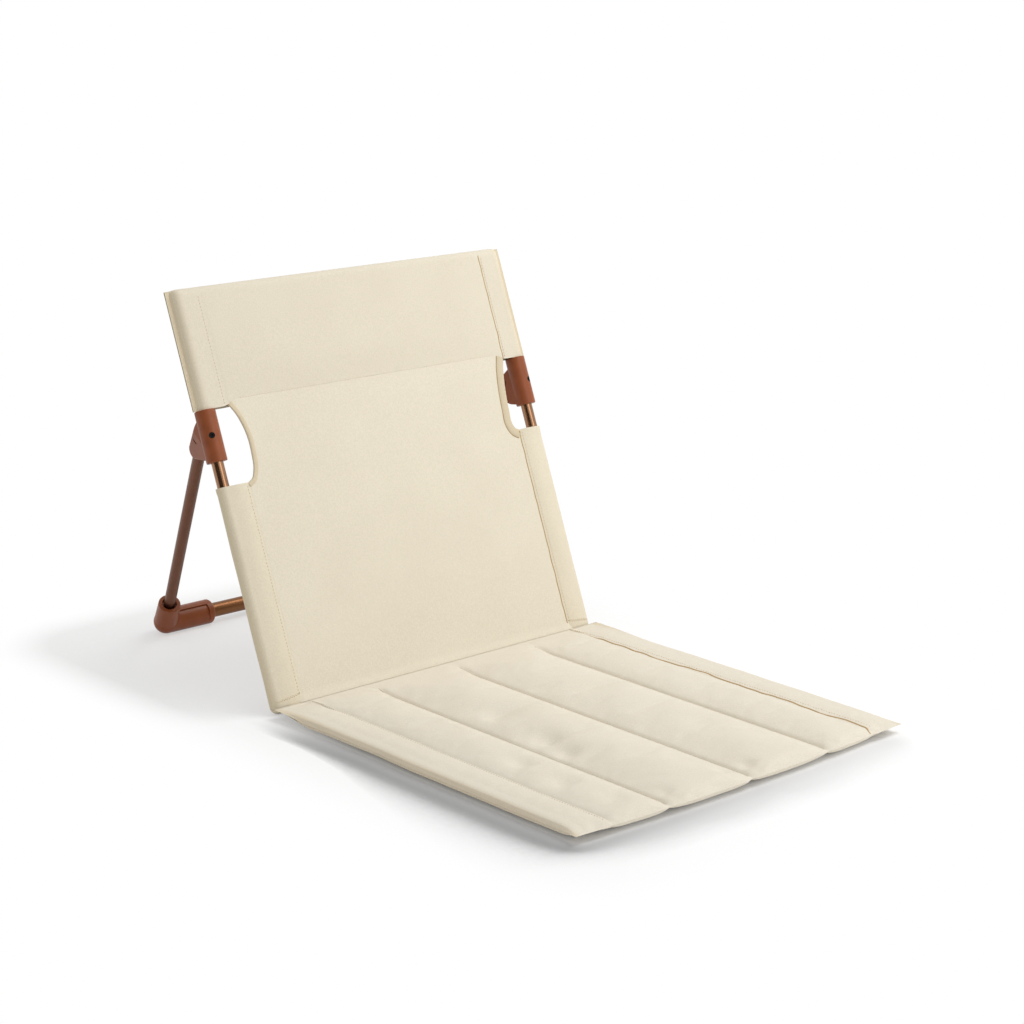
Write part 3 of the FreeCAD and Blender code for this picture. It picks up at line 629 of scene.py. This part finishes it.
def bottom_tunnel():
    """Cloth under and behind the bottom cross tube, up to its seam on the panel."""
    u = spread([-PANEL_EDGE, PANEL_EDGE], TUNNEL_STEP)[::-1]
    profile = [(-TUNNEL_R * math.cos(a), BOTTOM_V - TUNNEL_R * math.sin(a))
               for a in np.linspace(0, np.pi, TURN_COUNT)]
    profile += [(TUNNEL_R - (TUNNEL_R + TUNNEL_PULL) * ease(t),
                 BOTTOM_V + (TUNNEL_TOP_V - BOTTOM_V) * t)
                for t in np.linspace(0, 1, RISE_COUNT)[1:]]
    w, v = np.array(profile).T[:, :, None]
    soft = waves(u, v, TUNNEL_WAVES) * (v > BOTTOM_V + TUNNEL_CALM)
    piece = cloth_piece("bottom_tunnel", back_point(u, w + soft, v), BACK_CLOTH)
    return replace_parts(piece, "bottom_sleeve")


panel = back_panel()
hood = headrest()
sleeves = [sleeve(-1), sleeve(1)]
bindings = [binding(-1, BINDING_LEFT), binding(1, BINDING_RIGHT)]
tunnel = bottom_tunnel()


# Seat mat: a quilted cover over four foam strips, blown up and pulled in at its stitching
def puff(t):
    """A round crown from 0 through 1 to 0."""
    return 1 - np.abs(2 * np.clip(t, 0, 1) - 1) ** PUFF_POWER


def edge_height(s):
    """Height of the mat's sewn edge."""
    rear = ease((REAR_EDGE_S - s) / REAR_EDGE_LONG)
    front = ease((s - (SEAT_FRONT - TAPER)) / TAPER)
    return (SIDE_EDGE_Z + (REAR_EDGE_Z - SIDE_EDGE_Z) * rear
            + (FRONT_EDGE_Z - SIDE_EDGE_Z) * front)


def seat_surface(x, s, valley, band_low, inner, outer, roll):
    """Height of the top or the underside of the mat before it is blown up."""
    a = np.abs(x)
    edge = edge_height(s)
    out_share = np.clip((a - CHANNEL_SEAM) / (BAND_SEAM - CHANNEL_SEAM), 0, 1)
    sewn = ease((s - SEAM_REAR + SEWN_AHEAD) / SEWN_LONG)
    low_in = inner + (valley - inner) * sewn
    low_out = outer + (valley + (band_low - valley) * out_share - outer) * sewn
    inside = low_in + (inner - low_in) * puff(a / CHANNEL_SEAM)
    outside = low_out + (outer - low_out) * puff(out_share)
    taper = grown(FRONT_LEAST, (SEAT_FRONT - s) / TAPER) * grown(ROLL_LEAST, s / ROLL_TAPER)
    band = band_low + (edge + roll * taper - band_low) * ease((a - BAND_SEAM) / BAND_RISE)
    full = np.where(a <= CHANNEL_SEAM, inside, np.where(a <= BAND_SEAM, outside, band))
    front = np.clip((SEAT_FRONT - s) / FRONT_ROLL, 0, 1)
    side = np.clip((a - ROLL_START) / (SEAT_HALF - ROLL_START), 0, 1)
    rear = grown(REAR_LEAST, (s - SEAT_REAR) / REAR_ROLL)
    return edge + (full - edge) * np.sqrt(1 - (1 - front) ** 2) * np.cbrt(1 - side**3) * rear


def seat_outline(x, s, to_seam):
    """Places of the mat's grid, with its sides and front bowed, waved and drawn in."""
    near_side = ease((np.abs(x) - SIDE_NEAR) / SIDE_WIDE)
    near_front = ease((s - FRONT_NEAR) / (SEAT_FRONT - FRONT_NEAR))
    bow = SIDE_BOW * np.sin(np.pi * s / SEAT_FRONT) + REAR_FLARE * (1 - ease(s / FLARE_LONG))
    side_out = (waves(s, np.sign(x) * SIDE_APART, SIDE_WAVES) + bow) * near_side
    corner = CORNER_OUT * dip(np.hypot(SEAT_HALF - np.abs(x), SEAT_FRONT - s), CORNER_WIDE)
    drawn = SEAM_DRAW * dip(to_seam, SEAM_DRAW_WIDE) + MIDDLE_DRAW * dip(x, MIDDLE_DRAW_WIDE)
    front_out = FRONT_BOW * (0.5 - (x / SEAT_HALF) ** 2) - drawn + waves(x, 0, FRONT_WAVES)
    return x + np.sign(x) * (side_out + corner), s + front_out * near_front


def fold_room(s):
    """Height that the seat may have, so that it clears the backrest when folded up."""
    v = np.linspace(0, FOLD_REACH, FOLD_COUNT)
    place = back_point(0, -(COVER + PANEL_MARGIN + panel_lip(v)), v) / MM
    ahead, above = FOLD_Y - place[:, 1], place[:, 2] - FOLD_Z
    along = ahead * math.cos(FOLD_TURN) + above * math.sin(FOLD_TURN)
    return FOLD_Z + np.interp(s, along, above * math.cos(FOLD_TURN) - ahead * math.sin(FOLD_TURN))


def inflate(piece, pinned):
    """Where a pinned sheet of loose cloth goes when it is blown up a little."""
    group = piece.vertex_groups.new(name="pinned")
    group.add(pinned, 1.0, "REPLACE")
    cloth = piece.modifiers.new("cloth", "CLOTH")
    settings = cloth.settings
    settings.quality = 6
    settings.mass = 0.3
    settings.tension_stiffness = 20
    settings.compression_stiffness = 20
    settings.shear_stiffness = 8
    settings.bending_stiffness = 0.4
    settings.vertex_group_mass = "pinned"
    settings.use_pressure = True
    settings.uniform_pressure_force = PRESSURE
    settings.shrink_min = -SLACK
    settings.effector_weights.gravity = 0
    cloth.collision_settings.use_collision = False
    cloth.point_cache.frame_start = 1
    cloth.point_cache.frame_end = BLOW_FRAMES
    scene = bpy.context.scene
    scene.frame_start, scene.frame_end = 1, BLOW_FRAMES
    for step in range(1, BLOW_FRAMES + 1):
        scene.frame_set(step)
    settled = piece.evaluated_get(bpy.context.evaluated_depsgraph_get())
    places = np.zeros(len(piece.data.vertices) * 3)
    settled.data.vertices.foreach_get("co", places)
    piece.modifiers.remove(cloth)
    piece.vertex_groups.remove(group)
    scene.frame_set(1)
    return places.reshape(-1, 3)


def seat_grid():
    """Places s and x of the mat's grid, close together at the seams and the rolled edges."""
    marks = {abs(place + off) for place in SEAT_SEAMS for off in GROOVE_STEPS} | {ROLL_START}
    half_x = np.concatenate([spread(sorted(marks), SEAT_STEP)[:-1],
                             spread([ROLL_START, SEAT_HALF], ROLL_STEP)])
    roll_s = SEAT_FRONT - FRONT_ROLL
    seat_s = np.concatenate([spread([SEAT_REAR, SEAM_REAR, roll_s], SEAT_STEP)[:-1],
                             spread([roll_s, SEAM_FRONT, SEAT_FRONT], FRONT_STEP)])
    return np.meshgrid(seat_s, np.concatenate([-half_x[:0:-1], half_x]), indexing="ij")


def blown_up(top, pinned):
    """The mat's top after a short cloth simulation, with no point moved too far."""
    skin = add_object("seat_skin", top, grid_faces(*top.shape[:2])[:, ::-1], SEAT_CLOTH)
    move = inflate(skin, np.flatnonzero(pinned).tolist()).reshape(top.shape) - top
    bpy.data.objects.remove(skin)
    length = np.linalg.norm(move, axis=-1, keepdims=True)
    return top + move * np.minimum(1, BLOW_MOST * MM / np.maximum(length, 1e-9))


def closed_pad(top, under, on_seam):
    """The mat's cover as one closed mesh, creased along its seams."""
    grid = top.shape[:2]
    count = grid[0] * grid[1]
    index = np.arange(count).reshape(grid)
    loop = rim_loop(*grid)
    walls = [(a, b, b + count, a + count) for a, b in zip(loop, np.roll(loop, -1))]
    faces = [*grid_faces(*grid)[:, ::-1], *(grid_faces(*grid) + count), *walls]
    vertices = np.concatenate([top.reshape(-1, 3), under.reshape(-1, 3)])
    piece = add_object("seat_pad", vertices, faces, SEAT_CLOTH)
    creases = {tuple(sorted((index[i, j], index[i + 1, j])))
               for i, j in np.argwhere(on_seam[:-1] & on_seam[1:])}
    for line in piece.data.edges:
        if tuple(sorted(line.vertices)) in creases:
            line.use_edge_sharp = True
    return piece


def seat_mat():
    """The padded cover of the mat, and the base sheet under it."""
    s, x = seat_grid()
    out = np.abs(x)
    to_seam = np.min([np.abs(out - place) for place in SEAT_SEAMS], axis=0)
    place_x, place_s = seat_outline(x, s, to_seam)

    z = seat_surface(x, s, TOP_VALLEY, TOP_BAND, TOP_INNER, TOP_OUTER, ROLL_HALF)
    crowned = np.clip((z - TOP_VALLEY) / (TOP_INNER - TOP_VALLEY), 0, 1)
    z += waves(x, s, SEAT_WAVES) * crowned
    sewn = ease((s - SEAM_REAR) / GROOVE_REAR) * ease((SEAT_FRONT - GROOVE_END - s) / GROOVE_FRONT)
    strength = np.where(out > BAND_SEAM - BAND_GROOVE_NEAR, BAND_GROOVE, 1)
    z -= GROOVE_DEEP * dip(to_seam, GROOVE_WIDE) * sewn * strength
    top = seat_point(place_x, place_s, z)

    on_seam = np.isin(out, (0, CHANNEL_SEAM)) & (s >= SEAM_REAR) & (s <= SEAM_FRONT)
    on_seam |= out == BAND_SEAM
    on_edge = (to_seam < PIN_NEAR) | (out > ROLL_START) | (s == SEAT_REAR) | (s == SEAT_FRONT)
    top = blown_up(top, on_seam | on_edge)
    for dent_x, dent_s, radius, deep in DENTS:
        ahead = (s - dent_s) * np.where(s > dent_s, DENT_STEEP, DENT_LONG)
        top[..., 2] -= deep * MM * dip(np.hypot(x - dent_x, ahead), radius) * crowned
    by_sleeve = ease((out - (HALF - SLEEVE_SEAM - SLEEVE_NEAR)) / SLEEVE_NEAR_WIDE)
    clear = FOLD_CLEAR + SLEEVE_CLEAR * by_sleeve
    over = (top[..., 2] / MM - fold_room(s) + clear) / FOLD_SOFT
    top[..., 2] -= FOLD_SOFT * MM * np.logaddexp(0, over)

    low_z = seat_surface(x, s, LOW_VALLEY, LOW_BAND, LOW_CROWN, LOW_CROWN, -ROLL_HALF)
    low_z = np.maximum(low_z - EDGE_THICK, LOW_FLOOR)
    pad = closed_pad(top, seat_point(place_x, place_s, low_z + BASE_THICK), on_seam)
    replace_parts(pad, "seat_cover", "seat_foam_inner_left", "seat_foam_inner_right",
                "seat_foam_outer_left", "seat_foam_outer_right")

    within = out[0] < ROLL_START
    along = (s[:, 0] > BASE_REAR) & (s[:, 0] < SEAT_FRONT - FRONT_ROLL / 2)
    sheet = seat_point(place_x, place_s, low_z)[np.ix_(along, within)]
    base = cloth_piece("seat_base", sheet, BASE_CLOTH, BASE_THICK)
    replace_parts(base, "seat_base_sheet")
    return pad, base


def fold_welt():
    """A strip of cloth over the fold between the backrest and the seat."""
    x = spread([-WELT_HALF, WELT_HALF], WELT_STEP)
    behind, height = smooth_line(WELT_LINE, WELT_COUNT).T[:, :, None]
    points = seat_point(x, -behind, height + waves(x, behind, WELT_WAVES))
    piece = cloth_piece("fold_welt", points[::-1], BACK_CLOTH, WELT_THICK)
    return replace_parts(piece, "fold_seam")


pad, base = seat_mat()
welt = fold_welt()


# Sewing thread and seam lines laid on the cloth
def tree_of(pieces):
    graph = bpy.context.evaluated_depsgraph_get()
    vertices, faces = [], []
    for piece in pieces:
        mesh = piece.evaluated_get(graph).data
        start = len(vertices)
        vertices += [v.co.copy() for v in mesh.vertices]
        faces += [[start + i for i in p.vertices] for p in mesh.polygons]
    return BVHTree.FromPolygons(vertices, faces)


def dropped(tree, starts, direction):
    """Where lines from the starts meet the cloth, with the cloth's normals."""
    found = []
    for start in starts:
        place, normal, _, _ = tree.ray_cast(Vector(start), direction)
        if place is not None:
            found.append((place, normal if normal.dot(direction) < 0 else -normal))
    return found


def stitch(a, b, normal):
    """The points of one stitch, a thin spindle from a to b, ring by ring."""
    along = (b - a).normalized()
    side = along.cross(normal).normalized()
    up = side.cross(along)
    points = [a]
    for share in STITCH_RINGS:
        middle = a.lerp(b, share) + up * (STITCH_LIFT * MM)
        points += [middle + (side * math.cos(k) + up * math.sin(k)) * (STITCH_R * MM)
                   for k in np.linspace(0, 2 * np.pi, STITCH_SIDES + 1)[:-1]]
    return points + [b]


def stitch_faces(first):
    """The faces of a stitch whose points start at an index."""
    ring, last = first + 1, first + 1 + 2 * STITCH_SIDES
    faces = []
    for k in range(STITCH_SIDES):
        n = (k + 1) % STITCH_SIDES
        far_k, far_n = ring + STITCH_SIDES + k, ring + STITCH_SIDES + n
        faces += [(first, ring + n, ring + k), (ring + k, ring + n, far_n, far_k),
                  (last, far_k, far_n)]
    return faces


def thread(name, lines, material=THREAD):
    """Short stitches along lines of (place, normal)."""
    vertices, faces = [], []
    for line in lines:
        places = np.array([place for place, _ in line])
        run = run_along(places) / MM
        for start in np.arange(STITCH_GAP, run[-1] - STITCH_LONG, STITCH_LONG + STITCH_GAP):
            a, b = (Vector([np.interp(at, run, axis) for axis in places.T])
                    for at in (start, start + STITCH_LONG))
            normal = line[int(np.searchsorted(run, start + STITCH_LONG / 2)) - 1][1]
            faces += stitch_faces(len(vertices))
            vertices += stitch(a, b, normal)
    return add_object(name, vertices, faces, material)


def seam_line(name, lines, width, height):
    """A narrow raised strip along lines of (place, normal)."""
    vertices, faces = [], []
    for line in lines:
        along = np.gradient(np.array([place for place, _ in line]), axis=0)
        first = len(vertices)
        for (place, normal), way in zip(line, along):
            side = Vector(way).cross(normal).normalized() * (width / 2 * MM)
            sunk, raised = normal * (LINE_SUNK * MM), normal * (height * MM)
            vertices += [place - side - sunk, place - side * 0.5 + raised,
                         place + side * 0.5 + raised, place + side - sunk]
        for k in range(len(line) - 1):
            start = first + 4 * k
            faces += [(j, j + 1, j + 5, j + 4) for j in range(start, start + 3)]
    return add_object(name, vertices, faces, SEAM)


bpy.context.view_layer.update()
back_tree = tree_of([panel, hood, *sleeves, *bindings])
seat_tree = tree_of([pad])
REAR = Vector((0, COS, -SIN))
DOWN = Vector((0, 0, -1))


def on_back(u, v):
    return dropped(back_tree, back_point(u, -BEFORE, v), REAR)


def on_seat(x, s):
    return dropped(seat_tree, seat_point(x, s, ABOVE), DOWN)


hood_v = np.arange(BAND_EDGE_V + HOOD_RUN_IN, TOP_V + RUN_STEP, RUN_STEP)
sleeve_v = np.arange(SLEEVE_RUN_V, SLEEVE_TOP_V, RUN_STEP)
hood_u = np.arange(-BAND_START, BAND_START, RUN_STEP)
sleeve_u = HALF - SLEEVE_SEAM
tack_u = np.arange(-HALF - TACK_OUT, -HALF + SLEEVE_SEAM, TACK_STEP)
tack_v = TACK_V + TACK_SLOPE * (tack_u + HALF)
tack_v += TACK_ZIGZAG * np.where(np.arange(len(tack_u)) % 2, 1, -1)
hood_thread = thread("hood_stitches", [
    on_back(hood_u, STITCH_V + waves(hood_u, 0, HOOD_LINE_WAVES)),
], PALE_THREAD)
back_thread = thread("back_stitches", [
    on_back(-HOOD_SEAM_U - HOOD_STITCH, hood_v), on_back(HOOD_SEAM_U + HOOD_STITCH, hood_v),
    on_back(-sleeve_u - SLEEVE_STITCH, sleeve_v), on_back(sleeve_u + SLEEVE_STITCH, sleeve_v),
    on_back(tack_u, tack_v), on_back(-tack_u, tack_v),
])
quilt_s = np.arange(SEAM_REAR, SEAM_FRONT - QUILT_SHORT, RUN_STEP)
quilt_lines = [on_seat(x + waves(quilt_s, x, QUILT_WAVES), quilt_s)
               for x in (-CHANNEL_SEAM, 0, CHANNEL_SEAM)]
stitch_s = np.arange(SEAT_RUN_S, SEAT_FRONT - STITCH_SHORT, RUN_STEP)
seat_thread = thread("seat_stitches", [
    *quilt_lines,
    on_seat(-BAND_SEAM - LEFT_STITCH, stitch_s), on_seat(BAND_SEAM + RIGHT_STITCH, stitch_s),
])
tape_u, tape_v = (cutouts[1] + (BINDING_RIGHT + TAPE_LINE) * inward(cutouts[1])).T
back_seams = seam_line("back_seams", [
    on_back(HOOD_SEAM_U + waves(hood_v, 0, HOOD_SEAM_WAVES), hood_v),
    on_back(sleeve_u - SLEEVE_LINE + waves(sleeve_v, 0, SLEEVE_SEAM_WAVES), sleeve_v),
    on_back(tape_u, tape_v),
], *BACK_LINE)
band_s = np.arange(SEAT_RUN_S, SEAT_FRONT - BAND_SHORT, RUN_STEP)
band_x = BAND_SEAM + BAND_LINE_OUT + waves(band_s, 0, BAND_WAVES)
band_x -= CURL * ease((band_s - CURL_S) / CURL_LONG)
seat_seams = seam_line("seat_seams", [on_seat(band_x, band_s)], *BAND_LINE)
# Dark strips of painted shade in the creases of the quilting seams
quilt_crease_shade = seam_line("quilt_crease_shade", quilt_lines, *QUILT_SHADE_LINE)

# What each piece moves with
for piece in [panel, hood, *sleeves, *bindings, tunnel, hood_thread, back_thread, back_seams]:
    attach(piece, "back_frame")
for piece in [pad, base, seat_thread, seat_seams, quilt_crease_shade]:
    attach(piece, "seat")
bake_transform(welt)

# Stage, in metres: floor, world, lamps, card and camera
FLOOR_HALF = 60
FLOOR_COLOUR = (0.93, 0.93, 0.93, 1)
# The floor glows white away from the object's footprint, and partly under it, more towards the
# rear, where the glow is painted light over the object's shadow
FOOTPRINT, FADE_FAR = (0.22, 0.40, 0), 0.13
LIFT_Y = (-0.1, 0.15, 0.1, 0.5)
# Painted shadow round the mat: ambient occlusion darkens the floor's colour, with steps of a place
# as start, end, low and high
CLOSE_SAMPLES = 64
CLOSE_REACH = [(-0.44, -0.39, 0.065, 0.105), (-0.40, 0.0, 1, 0.35)]
CLOSE_FADES = [("X", -0.20, 0.25, 1, 0.35), ("X", 0.19, 0.235, 1, 0),
               ("Y", -0.43, -0.39, 0.45, 1), ("Y", -0.02, 0.09, 1, 0)]
CLOSE_STOPS = [(0.5, (0.6,) * 3), (0.975, (0.26,) * 3), (1.0, (0.93,) * 3)]
WORLD_STRENGTH = 0.58
CARD_COLOUR = (0.06, 0.05, 0.04, 1)
CARD_FOOT, CARD_TOP = [(-2.3, 0.6), (-1.2, -2.0)], 2.2
CAMERA_PLACE = (-1.6052, -1.8647, 0.8403)
CAMERA_AZIMUTH, CAMERA_ELEVATION = math.radians(-41.51), math.radians(14.71)
SENSOR, LENS, CLIP_END = 36, 84.375, 300


def far_from_footprint(tree):
    """How far a place of the floor lies outside the object's footprint."""
    place = object_places(tree)
    steps = (("ABSOLUTE", (0, 0, 0)), ("SUBTRACT", FOOTPRINT), ("MAXIMUM", (0, 0, 0)))
    for operation, value in steps:
        node = tree.nodes.new("ShaderNodeVectorMath")
        node.operation = operation
        feed(tree, node.inputs[0], place)
        feed(tree, node.inputs[1], value)
        place = node.outputs["Vector"]
    length = tree.nodes.new("ShaderNodeVectorMath")
    length.operation = "LENGTH"
    tree.links.new(place, length.inputs[0])
    return length.outputs["Value"]


def painted_close_shadow(tree, axes):
    """The floor's colour with a painted shadow, darker close to the mat, from ambient occlusion.
    """
    close = tree.nodes.new("ShaderNodeAmbientOcclusion")
    close.samples = CLOSE_SAMPLES
    reach = calculated(tree, "MULTIPLY", *(eased(tree, axes["Y"], *span) for span in CLOSE_REACH))
    tree.links.new(reach, close.inputs["Distance"])
    fades = [eased(tree, axes[axis], *span) for axis, *span in CLOSE_FADES]
    weight = fades[0]
    for fade in fades[1:]:
        weight = calculated(tree, "MULTIPLY", weight, fade)
    return mixed(tree, "MIX", weight, FLOOR_COLOUR, ramp(tree, close.outputs["AO"], CLOSE_STOPS))


def floor_material():
    """A pale floor that looks white away from the object and keeps its shadow, lightened near the
    object by a painted glow and darkened round the mat by a painted shadow.
    """
    material, tree, shader = new_material("floor")
    feed_all(tree, shader, {"Base Color": FLOOR_COLOUR, "Roughness": 0.9,
                            "Specular IOR Level": 0.1})
    axes = object_axes(tree)
    seen = seen_ray(tree)
    near = tree.nodes.new("ShaderNodeBsdfDiffuse")
    tree.links.new(painted_close_shadow(tree, axes), near.inputs["Color"])
    lit = either_shader(tree, seen, shader.outputs["BSDF"], near.outputs["BSDF"])
    # Painted light: a white glow for seen rays, which lightens the shadow near the object, most
    # towards the rear
    white = tree.nodes.new("ShaderNodeEmission")
    away = eased(tree, far_from_footprint(tree), 0, FADE_FAR)
    lift = calculated(tree, "MAXIMUM", away, eased(tree, axes["Y"], *LIFT_Y))
    share = calculated(tree, "MULTIPLY", lift, seen)
    surface = tree.nodes["Material Output"].inputs["Surface"]
    tree.links.new(either_shader(tree, share, lit, white.outputs["Emission"]), surface)
    return material


def white_world():
    """Soft white light all round, seen as plain white."""
    world = bpy.data.worlds.new("studio")
    world.use_nodes = True
    tree = world.node_tree
    light, white = tree.nodes["Background"], tree.nodes.new("ShaderNodeBackground")
    feed_all(tree, light, {"Color": (1, 1, 1, 1), "Strength": WORLD_STRENGTH})
    feed_all(tree, white, {"Color": (1, 1, 1, 1)})
    chosen = either_shader(tree, seen_ray(tree), light.outputs["Background"],
                           white.outputs["Background"])
    tree.links.new(chosen, tree.nodes["World Output"].inputs["Surface"])
    return world


def lamp(name, place, target, size, tall, power):
    data = bpy.data.lights.new(name, "AREA")
    data.shape = "RECTANGLE"
    data.size, data.size_y = size, tall
    data.energy = power
    light = bpy.data.objects.new(name, data)
    bpy.context.scene.collection.objects.link(light)
    light.location = place
    light.rotation_mode = "QUATERNION"
    light.rotation_quaternion = (Vector(target) - Vector(place)).to_track_quat("-Z", "Y")


corners = [(-1, -1), (1, -1), (1, 1), (-1, 1)]
floor = add_object("floor", [(x * FLOOR_HALF, y * FLOOR_HALF, 0) for x, y in corners],
                   [(0, 1, 2, 3)], floor_material())
bpy.context.scene.world = white_world()
lamp("key", (1.44, -0.60, 2.23), (0, 0, 0.15), 1.6, 1.6, 39)
lamp("fill", (0.55, -2.30, 1.20), (0, 0, 0.25), 1.0, 1.4, 9)

# Dark card beside the camera, seen only as a reflection in the metal
card_material, _, card_shader = new_material("card")
card_shader.inputs["Base Color"].default_value = CARD_COLOUR
card_low, card_high = ([(x, y, z) for x, y in CARD_FOOT] for z in (0, CARD_TOP))
card = add_object("card", card_low + card_high[::-1], [(0, 1, 2, 3)], card_material)
card.visible_camera = card.visible_diffuse = False
card.visible_transmission = card.visible_shadow = False

camera_data = bpy.data.cameras.new("camera")
camera_data.sensor_width = SENSOR
camera_data.lens = LENS
camera_data.clip_end = CLIP_END
camera = bpy.data.objects.new("camera", camera_data)
bpy.context.scene.collection.objects.link(camera)
away = Vector((math.sin(CAMERA_AZIMUTH) * math.cos(CAMERA_ELEVATION),
               -math.cos(CAMERA_AZIMUTH) * math.cos(CAMERA_ELEVATION),
               math.sin(CAMERA_ELEVATION)))
camera.location = CAMERA_PLACE
camera.rotation_mode = "QUATERNION"
camera.rotation_quaternion = away.to_track_quat("Z", "Y")
bpy.context.scene.camera = camera
bpy.context.scene.view_settings.view_transform = "Standard"
